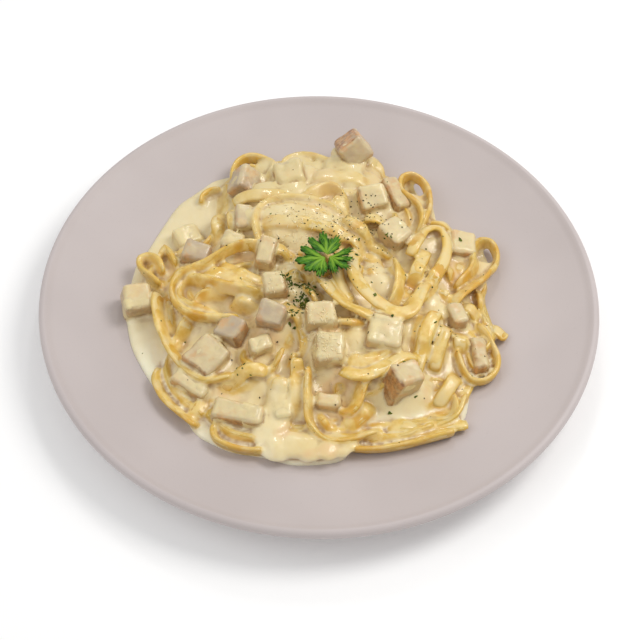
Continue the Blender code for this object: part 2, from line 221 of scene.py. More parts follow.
# Core between and below the noodles: how far it lies below their tops, over what reach they are
# averaged, how far it stays inside the heap, its mesh, from which share of the way out it falls and
# by how much, and how deep it drops in an open loop
CORE_DEPTH = 1.8
CORE_REACH = 5
CORE_INSET = 6.0
CORE_RINGS = 45
CORE_STEPS = 180
CORE_EDGE = (0.85, 4.0)
CORE_HOLE = 30.0
UNDER_PLATE = 1.5

# Cream: pool outline, counter-clockwise, and how the coat lies on the heap
POOL_TOP = 11.0
POOL_EDGE = 4.5
POOL_OUTLINE = [(-44, 85), (-50, 83), (-57, 80), (-62, 75), (-68, 69), (-73, 64), (-77, 57), (-80, 50),
                (-83, 43), (-86, 35), (-89, 28), (-92, 22), (-93.5, 12), (-95, 0), (-94, -10), (-92, -20),
                (-89, -30), (-84, -40), (-78, -50), (-71, -60), (-62, -68), (-55, -78), (-47, -83),
                (-38, -87), (-25, -89), (-18, -91), (-10, -93), (0, -92.5), (8, -91.2), (12.5, -89),
                (14.5, -86), (20, -80), (40, -74), (60, -66), (66, -52), (70, -40), (79, -30), (82, -22),
                (74, -6), (72, 8), (76, 24), (66, 34), (52, 48), (44, 64), (37, 76), (33, 86), (26, 95),
                (14, 97), (4, 92), (-8, 87), (-26, 87)]
POOL_SHARES = (0.0, 0.06, 0.2, 0.45, 0.75, 1.0)
POOL_THIN = 1.2
POOL_MIDDLE = (-20.0, 0.0)
SAUCE_VOXEL = 0.75
SAUCE_FILL = 1.2
SAUCE_BASE = 0.1
SAUCE_WAVE = 0.45
SAUCE_RIPPLE = 0.35
SAUCE_TRIANGLES = 190000
DICE_BARE = 0.45

# Heights between which the coat sets in, and between which the pool's colour fades
COAT_RISE = (POOL_TOP + 0.2, POOL_TOP + 2.5)
POOL_FADE = (POOL_TOP + 0.5, POOL_TOP + 5.0)

# Depths of the cream between which a noodle or a piece of chicken stops showing through, or stops
# thinning it, and depths of a crease between which its painted shade sets in
NOODLE_SHOWS = (0.2, 0.95)
MEAT_SHOWS = (0.1, 1.1)
MEAT_THINS = (0.3, 1.4)
CREASE_SHADE_DEPTHS = (0.04, 0.3)
SEARCH_MARGIN = 0.5

# Lumps of thick cream: place, reach and height of the top over the noodles there
LUMP_TALL = 0.4
LUMP_UNEVEN = 0.35
LUMPS = [(-17, -62, 6, 1.8), (-18.5, -68, 6.5, 2.2), (-20, -74, 7, 2.2), (-21, -79, 8, 2.0),
         (-18, -83, 9, 1.6), (-11, -84.5, 8, 1.2), (-3, -85.5, 8, 0.8), (5, -86, 7, 0.3), (11, -85, 6, 0.0),
         (25, 12, 6, 1.4), (27, 6, 7, 1.6), (29.5, -1, 7, 1.6), (30, -8, 5.5, 1.4), (17, -31, 7, 0.6),
         (4, -1, 5, 1.0), (9, -4, 5, 1.0), (-6, -3, 6, 0.8), (-11, -1, 5, 0.6), (-24, 42, 6, 1.8),
         (-18, 37, 13, 2.6), (-8, 38, 17, 3.0), (3, 37, 13, 2.6), (-6, 30, 12, 2.4), (8, 30, 8, 1.4),
         (-16, 29, 9, 1.8), (-14, 20, 9, 2.4), (-14, 10, 7, 3.0), (-15, 3, 6, 3.2), (-15, -5, 6, 2.8),
         (-6, -9, 6, 2.4), (-9, 1, 6, 2.4), (-8, 73, 7, 1.0), (4, 70, 8, 1.2), (15, 71, 8, 1.2),
         (24, 70, 7, 1.0), (-28, 60, 8, 0.8), (-16, 61, 8, 0.8), (-4, 60, 7, 0.6), (-30, 83, 6, 0.4),
         (-12, 84, 7, 0.6), (-2, 80, 7, 0.8), (50, -4, 8, 0.4), (52, -12, 8, 0.4), (52, -20, 7, 0.3),
         (62, -13, 6, 0.2), (8, 82, 7, 0.0), (15, 82, 8, 0.0), (23, 79, 7, -0.5), (12, 90, 7, -3.5),
         (19, 91, 7, -4.0)]

# Where the cream lies thick or thin: place, reach and by how much
SAUCE_PATCHES = [(-48, -12, 14, 0.5), (-15, 70, 22, 0.7), (12, 76, 12, 0.7), (-40, 40, 14, 0.3),
                 (-18, -60, 9, 0.9), (14, -36, 9, 0.6), (50, -20, 12, 0.3), (-50, -35, 8, 0.3),
                 (30, 2, 8, 0.5), (-14, 36, 14, 0.3), (58, -56, 14, -0.6), (80, 0, 18, -0.5),
                 (48, 66, 16, -0.8), (80, -36, 12, -0.5), (-66, -8, 10, -0.3), (-36, 88, 8, -0.8),
                 (60, 34, 10, -0.6)]

# Chicken: where each piece is seared and darkened by painted shade, as a direction in degrees round and
# up, how strongly, how grey it is and how much cream lies on it
SEAR_AND_SHADE = {1: (145, 40, 1.0, 0.5, -0.6), 2: (300, 20, 0.5, 1.0, -0.2), 3: (340, 10, 0.7, 0.6, 0.0),
          4: (210, -30, 0.0, 0.0, 0.6), 5: (320, 10, 0.5, 1.0, -0.6), 6: (200, 0, 0.4, 0.1, 0.1),
          7: (200, 0, 0.3, 0.5, -0.1), 8: (290, 0, 0.4, 0.3, 0.1), 9: (340, 0, 0.6, 0.3, 0.1),
          10: (340, 0, 0.8, 0.1, 0.0), 11: (270, -30, 0.5, 0.9, -0.3), 12: (310, 0, 0.8, 1.0, -0.5),
          13: (250, -20, 0.3, 0.0, 0.2), 14: (200, 10, 1.0, 0.3, -0.2), 15: (250, -30, 0.7, 0.1, 0.1),
          16: (280, -40, 0.9, 0.2, 0.0), 17: (210, -30, 0.0, 0.2, 0.6), 18: (200, 0, 0.4, 0.0, 0.1),
          19: (190, 10, 0.7, 0.0, 0.2), 20: (190, 10, 0.6, 0.1, 0.2), 21: (222, 10, 1.0, 0.1, -0.2),
          22: (270, -30, 0.5, 0.0, 0.1), 23: (250, 0, 0.5, 0.5, 0.0), 24: (240, 20, 0.9, 0.0, -0.6),
          25: (270, -20, 0.6, 0.0, 0.0), 26: (230, -20, 0.4, 0.2, 0.0), 27: (190, 10, 1.0, 0.3, 0.2),
          28: (235, 10, 1.0, 0.0, -0.6)}
CHICKEN_VOXEL = 0.65

# Roughness of the chicken's surface: size of the bumps and how high they are
CHICKEN_ROUGH = [(9.0, 0.8), (3.0, 0.22), (1.1, 0.06)]
CHICKEN_SHRINK = 0.15

# Parsley: leaflets as direction and half spread in degrees, length, lobes and height
SPRIG_CENTRE = (3.4, 5.2)
LEAFLET_ROOT = 1.2
LEAFLETS = [(97, 56, 14.5, 3, 0.6), (207, 72, 15.5, 4, 0.2), (333, 66, 13.5, 4, 0.7),
            (78, 46, 11.0, 3, 0.1), (224, 60, 12.0, 4, -0.2), (316, 54, 10.5, 3, 0.1)]
LEAF_THICK = 0.3
LEAF_SINK = 0.6

# Sprinkles: how many of each, and where: middle, reach and weight of each cluster
EVERYWHERE = [(-40, 0, 30, 1.0), (20, -30, 32, 1.3), (50, -20, 22, 0.8)]
PEPPER_COUNT = 330
PEPPER_AT = [(2, 36, 16, 5.0), (22, 34, 11, 4.0), (20, 50, 8, 1.5), (10, 22, 9, 1.5)] + EVERYWHERE
HERB_COUNT = 260
HERB_SIZES = (0.9, 1.2, 1.6, 2.2, 3.0)
HERB_AT = [(-7, -9, 3.5, 6.0), (-15, -3, 2.0, 5.0), (-6, -13, 2.5, 5.0), (-13, -22, 2.5, 1.5),
           (10, 20, 10, 1.0), (33, 23, 2.5, 0.6), (-35, -50, 1.5, 0.5), (57, -25, 1.5, 0.3),
           (86, 30, 3, 0.3)] + EVERYWHERE
CHEESE_COUNT = 620
CHEESE_AT = [(-6, 32, 12, 5.0), (8, 36, 9, 2.0), (-9, -9, 7, 3.0), (2, -32, 6, 3.0), (3, -46, 5, 2.0),
             (-14, 8, 6, 1.0), (18, 14, 7, 1.0)]
SPRINKLE_LOW = 2.5


def linear(r, g, b):
    """Scene-linear colour of a display colour given in 0-255 steps."""
    def one(value):
        value /= 255.0
        return value / 12.92 if value <= 0.04045 else ((value + 0.055) / 1.055) ** 2.4
    return (one(r), one(g), one(b), 1.0)


# ---- meshes

def new_piece(name, points, faces, look):
    """A mesh object from millimetre points and faces, quads or triangles."""
    mesh = bpy.data.meshes.new(name)
    mesh.from_pydata((np.asarray(points, float) * MM).tolist(), [], [list(map(int, f)) for f in faces])
    mesh.update()
    mesh.shade_smooth()
    mesh.materials.append(look)
    made = bpy.data.objects.new(name, mesh)
    bpy.context.scene.collection.objects.link(made)
    return made


def add_values(made, name, values):
    """A number for each vertex, for the material to read."""
    layer = made.data.attributes.new(name, "FLOAT", "POINT")
    layer.data.foreach_set("value", np.asarray(values, np.float32))


def read(items, field, kind, width=3):
    """One field of all the vertices, edges or triangles, a row for each."""
    flat = np.zeros(len(items) * width, kind)
    items.foreach_get(field, flat)
    return flat.reshape(-1, width)


def points_of(made):
    return read(made.data.vertices, "co", np.float32).astype(float) / MM


def normals_of(made):
    return read(made.data.vertex_normals, "vector", np.float32).astype(float)


def move_points(made, points):
    made.data.vertices.foreach_set("co", (points * MM).astype(np.float32).ravel())
    made.data.update()


def triangles_of(made):
    made.data.calc_loop_triangles()
    return read(made.data.loop_triangles, "vertices", np.int32)


def add_modifier(made, kind, **settings):
    added = made.modifiers.new(kind.lower(), kind)
    for name, value in settings.items():
        setattr(added, name, value)


def bake_modifiers(made):
    graph = bpy.context.evaluated_depsgraph_get()
    mesh = bpy.data.meshes.new_from_object(made.evaluated_get(graph))
    made.modifiers.clear()
    made.data = mesh


def noise_at(points, scale, shift=0.0):
    """Smooth noise of about -1 to 1 at each point, with features of the given size."""
    moved = np.asarray(points, float) / scale + shift
    return np.array([noise.noise(Vector(p)) for p in moved])


def step_between(low, high, value):
    """0 below low, 1 above high and a smooth step between them."""
    t = np.clip((np.asarray(value, float) - low) / (high - low), 0.0, 1.0)
    return t * t * (3.0 - 2.0 * t)


def unit(rows):
    return rows / np.linalg.norm(rows, axis=1)[:, None]


def left_of(run):
    return np.stack([-run[:, 1], run[:, 0]], axis=1)


def ball(subdivisions, radius):
    """Points and triangles of an even ball."""
    work = bmesh.new()
    bmesh.ops.create_icosphere(work, subdivisions=subdivisions, radius=radius)
    points = np.array([v.co for v in work.verts])
    faces = np.array([[v.index for v in face.verts] for face in work.faces])
    work.free()
    return points, faces


def fan(middle, ring, steps, flip=False):
    """Triangles from one point to a closed ring of points."""
    sides = [(ring + k, ring + (k + 1) % steps) for k in range(steps)]
    return [(middle, b, a) if flip else (middle, a, b) for a, b in sides]


def surfaces(pieces):
    return [(points_of(piece), triangles_of(piece)) for piece in pieces]


def joined(parts):
    """One mesh from parts, each given as points and triangles."""
    points, faces, base = [], [], 0
    for some, triangles in parts:
        points.append(some)
        faces.append(np.asarray(triangles) + base)
        base += len(some)
    return np.concatenate(points), np.concatenate(faces)


def tree_of(parts):
    """Search tree over the surfaces of parts."""
    points, faces = joined(parts)
    return BVHTree.FromPolygons([Vector(p) for p in points], faces.tolist())


# ---- materials

NOISE_ROUGHNESS = 0.55
# Sockets of a Mix node in its colour mode
MIX_A, MIX_B, MIX_RESULT = 6, 7, 2


class Look:
    """A material being wired: short calls for the nodes that the surfaces share."""

    def __init__(self, name, roughness, specular=0.5):
        self.material = bpy.data.materials.new(name)
        self.material.use_nodes = True
        self.tree = self.material.node_tree
        self.shader = self.tree.nodes["Principled BSDF"]
        self.shader.inputs["Roughness"].default_value = roughness
        self.shader.inputs["Specular IOR Level"].default_value = specular
        self.place = self.node("ShaderNodeTexCoord").outputs["Object"]

    def node(self, kind, **settings):
        made = self.tree.nodes.new(kind)
        for name, value in settings.items():
            setattr(made, name, value)
        return made

    def link(self, source, target):
        """Links an output to a socket, or gives the socket a constant."""
        if isinstance(source, (float, tuple)):
            target.default_value = source
        else:
            self.tree.links.new(source, target)

    def noise(self, size_mm, detail):
        made = self.node("ShaderNodeTexNoise")
        made.inputs["Scale"].default_value = 1.0 / (size_mm * MM)
        made.inputs["Detail"].default_value = detail
        made.inputs["Roughness"].default_value = NOISE_ROUGHNESS
        self.link(self.place, made.inputs["Vector"])
        return made.outputs["Fac"]

    def patches(self, size_mm, detail, low, high, to_low=0.0, to_high=1.0):
        """Noise with its values from low to high spread over another range."""
        return self.ramp(self.noise(size_mm, detail), low, high, to_low, to_high)

    def value(self, name):
        return self.node("ShaderNodeAttribute", attribute_name=name).outputs["Fac"]

    def up(self):
        split = self.node("ShaderNodeSeparateXYZ")
        self.link(self.node("ShaderNodeNewGeometry").outputs["Normal"], split.inputs[0])
        return split.outputs["Z"]

    def math(self, operation, a, b, clamp=False):
        made = self.node("ShaderNodeMath", operation=operation, use_clamp=clamp)
        self.link(a, made.inputs[0])
        self.link(b, made.inputs[1])
        return made.outputs[0]

    def ramp(self, source, low, high, to_low=0.0, to_high=1.0):
        made = self.node("ShaderNodeMapRange", interpolation_type="SMOOTHSTEP", clamp=True)
        for name, number in zip(("From Min", "From Max", "To Min", "To Max"), (low, high, to_low, to_high)):
            made.inputs[name].default_value = number
        self.link(source, made.inputs["Value"])
        return made.outputs["Result"]

    def mix(self, factor, a, b):
        made = self.node("ShaderNodeMix", data_type="RGBA")
        self.link(factor, made.inputs["Factor"])
        self.link(a, made.inputs[MIX_A])
        self.link(b, made.inputs[MIX_B])
        return made.outputs[MIX_RESULT]

    def colour(self, source):
        self.link(source, self.shader.inputs["Base Color"])

    def bump(self, source, height_mm):
        made = self.node("ShaderNodeBump")
        made.inputs["Distance"].default_value = height_mm * MM
        made.inputs["Strength"].default_value = 1.0
        self.link(source, made.inputs["Height"])
        self.link(made.outputs["Normal"], self.shader.inputs["Normal"])

    def rough(self, source):
        self.link(source, self.shader.inputs["Roughness"])

    def wet(self, weight, roughness):
        """A thin clear film over the surface."""
        self.shader.inputs["Coat Weight"].default_value = weight
        self.shader.inputs["Coat Roughness"].default_value = roughness

    def soft(self, weight, radius_mm, colour_reach=(1.0, 0.6, 0.3)):
        self.shader.inputs["Subsurface Weight"].default_value = weight
        self.shader.inputs["Subsurface Radius"].default_value = colour_reach
        self.shader.inputs["Subsurface Scale"].default_value = radius_mm * MM


POOL_PAINTED_LIGHT = linear(254, 246, 216)
POOL_LIGHT = linear(244, 232, 198)
POOL_DEEP = linear(232, 217, 172)
CREAM_LIGHT = linear(237, 221, 174)
CREAM_DEEP = linear(228, 206, 148)
CREAM_FAR_SHADE = linear(212, 194, 142)
CREAM_PEACH = linear(232, 192, 140)
CREASE_SHADE = linear(166, 118, 58)
PASTA_PALE = linear(236, 208, 134)
PASTA_GOLD = linear(220, 182, 84)
PASTA_DEEP = linear(210, 158, 44)
CHICKEN_PALE = linear(214, 195, 146)
CHICKEN_BLUSH = linear(208, 156, 98)
CHICKEN_GREY = linear(176, 158, 138)
CHICKEN_BROWN = linear(142, 94, 50)
CHICKEN_CREAMY = linear(230, 212, 160)
CHICKEN_FIBRE = linear(206, 182, 142)
CHICKEN_SIDE_SHADE = linear(188, 160, 108)
CHICKEN_TAN = linear(192, 140, 82)
GLAZE_COOL = linear(190, 180, 178)
GLAZE_WARM = linear(195, 185, 183)
GLAZE_SPECK = linear(178, 168, 165)
LEAF_DEEP = linear(46, 104, 3)
LEAF_FRESH = linear(88, 142, 8)
LEAF_VEIN_AND_HIGHLIGHT = linear(126, 168, 34)
LEAF_NOTCH_SHADE = linear(20, 58, 6)
LEAF_SHADE = linear(14, 46, 4)
PEPPER = (linear(40, 34, 18), linear(92, 80, 34))
DRIED_HERB = (linear(44, 70, 12), linear(104, 116, 34))
CHEESE = (linear(236, 214, 158), linear(246, 232, 190))
TABLE = ((0.93, 0.93, 0.93, 1.0), (0.95, 0.95, 0.95, 1.0))


def glaze_look():
    look = Look("greige_glaze", 0.5, 0.35)
    tone = look.patches(60.0, 2.0, 0.3, 0.7)
    base = look.mix(tone, GLAZE_COOL, GLAZE_WARM)
    specks = look.patches(1.1, 2.0, 0.66, 0.74, 0.0, 0.35)
    look.colour(look.mix(specks, base, GLAZE_SPECK))
    look.rough(look.patches(9.0, 3.0, 0.3, 0.7, 0.48, 0.56))
    look.bump(look.noise(5.0, 2.0), 0.01)
    return look.material


def pasta_look():
    look = Look("pasta", 0.3, 0.5)
    patches = look.patches(16.0, 3.0, 0.38, 0.62)
    edge = look.ramp(look.value("across"), 0.35, 0.95)
    side = look.ramp(look.up(), 0.15, 0.85, 1.0, 0.0)
    gold = look.mix(look.math("MAXIMUM", edge, side), PASTA_PALE, PASTA_GOLD)
    gold = look.mix(look.math("MULTIPLY", patches, look.ramp(look.value("tone"), 0.2, 1.0, 0.0, 0.8)), gold,
                    PASTA_DEEP)
    film = look.math("ADD", look.ramp(look.up(), 0.2, 0.95, 0.0, 0.55),
                     look.patches(7.0, 4.0, 0.35, 0.7, -0.3, 0.5))
    film = look.math("SUBTRACT", film, look.ramp(look.value("across"), 0.5, 1.0, 0.0, 0.3), clamp=True)
    look.colour(look.mix(film, gold, CREAM_DEEP))
    look.rough(look.patches(3.0, 2.0, 0.3, 0.7, 0.3, 0.45))
    look.bump(look.noise(2.2, 3.0), 0.12)
    look.soft(0.25, 2.5, (1.0, 0.8, 0.5))
    look.wet(0.35, 0.12)
    return look.material


def cream_look():
    look = Look("cream_sauce", 0.28, 0.5)
    pool = look.patches(24.0, 3.0, 0.35, 0.65)
    split = look.node("ShaderNodeSeparateXYZ")
    look.link(look.place, split.inputs[0])
    # Painted light: the pool turns lighter towards the near side
    near_side_painted_light = look.ramp(split.outputs["Y"], 0.02, -0.07)
    flat = look.mix(near_side_painted_light, look.mix(pool, POOL_LIGHT, POOL_DEEP), look.mix(pool, POOL_PAINTED_LIGHT, POOL_LIGHT))
    base = look.mix(look.value("pool"), look.mix(pool, CREAM_LIGHT, CREAM_DEEP), flat)
    thin = look.value("thin")
    gold = look.mix(look.patches(6.0, 3.0, 0.35, 0.65), PASTA_GOLD, PASTA_PALE)
    gold = look.mix(look.patches(13.0, 2.0, 0.54, 0.66, 0.0, 0.9), gold, PASTA_DEEP)
    blush = look.math("SUBTRACT", look.patches(19.0, 2.0, 0.52, 0.66, 0.0, 0.5), look.value("pool"),
                      clamp=True)
    base = look.mix(blush, base, CREAM_PEACH)
    base = look.mix(thin, base, gold)
    meat = look.mix(look.patches(5.0, 3.0, 0.35, 0.65), CHICKEN_CREAMY, CHICKEN_PALE)
    base = look.mix(look.value("meat"), base, meat)
    # Painted shade: the cream turns darker towards the far side of the heap
    base = look.mix(look.ramp(split.outputs["Y"], 0.0, 0.075, 0.0, 0.5), base, CREAM_FAR_SHADE)
    # Painted shade: the creases in the cream are darkened towards brown
    look.colour(look.mix(look.math("MULTIPLY", look.value("crease_shade"), 0.75), base, CREASE_SHADE))
    look.rough(look.patches(4.0, 3.0, 0.3, 0.7, 0.3, 0.46))
    look.bump(look.noise(3.0, 3.0), 0.15)
    look.soft(0.35, 3.0, (1.0, 0.85, 0.6))
    look.wet(0.4, 0.1)
    return look.material


def chicken_look():
    look = Look("chicken", 0.38, 0.5)
    base = look.mix(look.patches(4.5, 4.0, 0.3, 0.75), CHICKEN_PALE, CHICKEN_FIBRE)
    # Painted shade: the side and lower faces of the chicken are darker and browner
    base = look.mix(look.ramp(look.up(), 0.0, 0.75, 0.55, 0.0), base, CHICKEN_SIDE_SHADE)
    base = look.mix(look.value("grey"), base, CHICKEN_GREY)
    # Faces turned one way are browned: partly real searing, partly painted shade
    sear_and_shade = look.math("MULTIPLY", look.value("sear_and_shade"), look.patches(3.5, 4.0, 0.28, 0.6, 0.35, 1.0))
    brown = look.mix(look.patches(2.2, 4.0, 0.4, 0.65), CHICKEN_BROWN, CHICKEN_TAN)
    base = look.mix(sear_and_shade, base, brown)
    blush = look.patches(7.0, 2.0, 0.5, 0.68, 0.0, 0.6)
    base = look.mix(blush, base, CHICKEN_BLUSH)
    film = look.math("ADD", look.ramp(look.up(), 0.2, 0.95, 0.0, 0.4),
                     look.patches(6.0, 3.0, 0.35, 0.7, -0.1, 0.25))
    film = look.math("ADD", film, look.value("film"), clamp=True)
    look.colour(look.mix(film, base, CHICKEN_CREAMY))
    look.rough(look.patches(2.0, 3.0, 0.3, 0.7, 0.28, 0.48))
    look.bump(look.math("ADD", look.noise(1.4, 4.0), look.noise(4.0, 2.0)), 0.1)
    look.soft(0.2, 2.0)
    look.wet(0.4, 0.2)
    return look.material


def leaf_look():
    look = Look("parsley", 0.45, 0.4)
    base = look.mix(look.patches(2.5, 3.0, 0.35, 0.65), LEAF_DEEP, LEAF_FRESH)
    # Lobe midribs lighter: partly the real veins, partly a painted highlight on the raised ridges
    base = look.mix(look.ramp(look.value("vein"), 0.0, 0.45, 1.0, 0.0), base, LEAF_VEIN_AND_HIGHLIGHT)
    # Painted shade: the leaf darkens in the notches between the lobes, near the outer edge
    base = look.mix(look.ramp(look.value("tip"), 0.62, 1.0), base, LEAF_NOTCH_SHADE)
    base = look.mix(look.ramp(look.up(), 0.1, 0.7, 1.0, 0.0), base, LEAF_SHADE)
    look.colour(base)
    look.bump(look.noise(0.9, 3.0), 0.15)
    look.soft(0.08, 0.5, (0.4, 1.0, 0.2))
    return look.material


def fleck_look(name, colours, roughness):
    look = Look(name, roughness, 0.3)
    look.colour(look.mix(look.patches(1.2, 2.0, 0.4, 0.6), *colours))
    look.bump(look.noise(0.4, 2.0), 0.08)
    return look.material


def floor_look():
    look = Look("floor", 0.9, 0.1)
    look.colour(look.mix(look.noise(300.0, 2.0), *TABLE))
    look.shader.inputs["Emission Color"].default_value = (1.0, 1.0, 1.0, 1.0)
    look.shader.inputs["Emission Strength"].default_value = TABLE_GLOW
    return look.material


# ---- camera, light, floor

def make_camera():
    elevation, roll = math.radians(VIEW_ELEVATION), math.radians(VIEW_ROLL)
    back = Vector((0.0, -math.cos(elevation), math.sin(elevation)))
    right = Vector((1.0, 0.0, 0.0))
    up = back.cross(right)
    across = math.cos(roll) * right + math.sin(roll) * up
    rise = math.cos(roll) * up - math.sin(roll) * right
    data = bpy.data.cameras.new("camera")
    data.lens = VIEW_LENS
    data.sensor_width = VIEW_SENSOR
    made = bpy.data.objects.new("camera", data)
    place = Matrix((across, rise, back)).transposed().to_4x4()
    place.translation = Vector(VIEW_TARGET) + VIEW_DISTANCE * back
    made.matrix_world = place
    bpy.context.scene.collection.objects.link(made)
    bpy.context.scene.camera = made


def area_light(name, place, size, power, colour):
    data = bpy.data.lights.new(name, "AREA")
    data.shape = "DISK"
    data.size = size
    data.energy = power
    data.color = colour
    made = bpy.data.objects.new(name, data)
    made.location = place
    made.rotation_euler = (Vector(place) - Vector(LIGHT_AIM)).to_track_quat("Z", "Y").to_euler()
    bpy.context.scene.collection.objects.link(made)


def make_light():
    world = bpy.data.worlds.new("studio")
    world.use_nodes = True
    background = world.node_tree.nodes["Background"]
    background.inputs["Color"].default_value = (1.0, 1.0, 1.0, 1.0)
    background.inputs["Strength"].default_value = WORLD_STRENGTH
    bpy.context.scene.world = world
    for light in LIGHTS:
        area_light(*light)
    bpy.context.scene.view_settings.view_transform = "Standard"


def make_floor():
    far = TABLE_REACH
    corners = [(-far, -far, 0), (far, -far, 0), (far, far, 0), (-far, far, 0)]
    new_piece("floor", corners, [(0, 1, 2, 3)], floor_look())


# ---- plate

def plate_top(radius):
    rise = (np.asarray(radius, float) - FLOOR_RADIUS) / (PLATE_RADIUS - LIP_RADIUS - FLOOR_RADIUS)
    return PLATE_FLOOR + (LIP_HEIGHT + LIP_RADIUS - 0.5 - PLATE_FLOOR) * np.clip(rise, 0.0, 1.0) ** 2


def plate_profile():
    """Half outline from the middle of the floor over the lip and down to the foot."""
    lip_centre = PLATE_RADIUS - LIP_RADIUS
    reaches = np.concatenate([[0.0, 30.0, 60.0], np.linspace(FLOOR_RADIUS, 130.5, 22)])
    top = [(r, plate_top(r)) for r in reaches]
    lip = [(lip_centre + LIP_RADIUS * math.cos(a), LIP_HEIGHT + LIP_RADIUS * math.sin(a))
           for a in np.radians(np.linspace(108, -70, 15))]
    under = [(r, plate_top(r) - PLATE_WALL) for r in np.linspace(128.0, FOOT_OUTER + 4.0, 12)]
    foot = [(FOOT_OUTER + 1.0, PLATE_FLOOR - PLATE_WALL), (FOOT_OUTER, 1.2), (FOOT_OUTER - 0.7, 0.3),
            (FOOT_OUTER - 1.5, 0.0), (FOOT_INNER + 1.5, 0.0), (FOOT_INNER + 0.6, 0.3), (FOOT_INNER, 1.2),
            (FOOT_INNER - 0.6, FOOT_HEIGHT), (0.0, FOOT_HEIGHT)]
    return top + lip + under + foot


def make_plate():
    profile = plate_profile()
    angles = np.arange(PLATE_STEPS) * 2 * math.pi / PLATE_STEPS
    ring = [(r * np.cos(angles), r * np.sin(angles), np.full(PLATE_STEPS, z)) for r, z in profile[1:-1]]
    points = [(0.0, 0.0, profile[0][1])] + [p for x, y, z in ring for p in zip(x, y, z)]
    points.append((0.0, 0.0, profile[-1][1]))
    last, steps = len(points) - 1, PLATE_STEPS
    faces = fan(0, 1, steps)
    for row in range(len(ring) - 1):
        a, b = 1 + row * steps, 1 + (row + 1) * steps
        faces += [(a + k, b + k, b + (k + 1) % steps, a + (k + 1) % steps) for k in range(steps)]
    faces += fan(last, 1 + (len(ring) - 1) * steps, steps, True)
    made = new_piece("plate_glazed", points, faces, glaze_look())
    return finish_piece(made, "glaze", "plate")


def finish_piece(made, slot, *nodes):
    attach(made, "root")
    if nodes:
        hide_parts(*nodes)
    return made


# ---- noodles

def dome(x, y):
    """Height of the smooth heap over the table."""
    edge = EDGE_RISE + EDGE_TILT * np.asarray(y, float)
    off_x = (np.asarray(x, float) - DOME_CENTRE[0]) / DOME_REACH[0]
    off_y = (np.asarray(y, float) - DOME_CENTRE[1]) / DOME_REACH[1]
    return PLATE_FLOOR + edge + (DOME_RISE - edge) * np.maximum(0.0, 1.0 - off_x ** 2 - off_y ** 2)


def smooth_path(points, step, closed=False):
    """Evenly spaced points on a smooth curve through the listed ones."""
    points = np.asarray(points, float)
    if closed:
        points = np.concatenate([points[-1:], points, points[:2]])
    else:
        points = np.concatenate([[2 * points[0] - points[1]], points, [2 * points[-1] - points[-2]]])
    t = np.linspace(0.0, 1.0, 16, endpoint=False)[:, None]
    fine = []
    for a, b, c, d in zip(points[:-3], points[1:-2], points[2:-1], points[3:]):
        fine.append(b + 0.5 * t * (c - a + t * (2 * a - 5 * b + 4 * c - d + t * (3 * (b - c) + d - a))))
    fine = np.concatenate(fine + [points[-2:-1]])
    length = np.concatenate([[0.0], np.cumsum(np.linalg.norm(np.diff(fine, axis=0), axis=1))])
    count = max(4, int(round(length[-1] / step)))
    at = np.linspace(0.0, length[-1], count + 1)
    return np.stack([np.interp(at, length, fine[:, k]) for k in range(fine.shape[1])], axis=1)


def along(values, count):
    return np.interp(np.linspace(0.0, 1.0, count), np.linspace(0.0, 1.0, len(values)), values)


def soften(values, reach):
    """Lowest value nearby, then a running mean, so that a dip grows gentle sides."""
    padded = np.pad(values, reach, mode="edge")
    low = np.min([padded[k:k + len(values)] for k in range(2 * reach + 1)], axis=0)
    padded = np.pad(low, reach, mode="edge")
    weights = np.hanning(2 * reach + 3)[1:-1]
    return np.convolve(padded, weights / weights.sum(), mode="valid")


def from_ends(count):
    """For each of a row of things, how many steps it is from the nearer end."""
    return np.minimum(np.arange(count), np.arange(count)[::-1])


def squarish(values, power):
    """Sine or cosine values pushed outwards, which makes a round section fuller."""
    return np.sign(values) * np.abs(values) ** power


def in_hole(x, y, margin=0.0, holes=HOLES):
    """Whether places lie in one of the open loops, or in other discs given."""
    inside = np.zeros(np.shape(x), bool)
    for at_x, at_y, reach in holes:
        inside |= np.hypot(x - at_x, y - at_y) < reach + margin
    return inside


def blurred(grid, reach):
    """Running mean of a grid, its weights a bell of this reach."""
    bell = np.exp(-0.5 * (np.arange(-3 * reach, 3 * reach + 1) / reach) ** 2)
    for axis in (0, 1):
        grid = np.apply_along_axis(np.convolve, axis, grid, bell / bell.sum(), "same")
    return grid


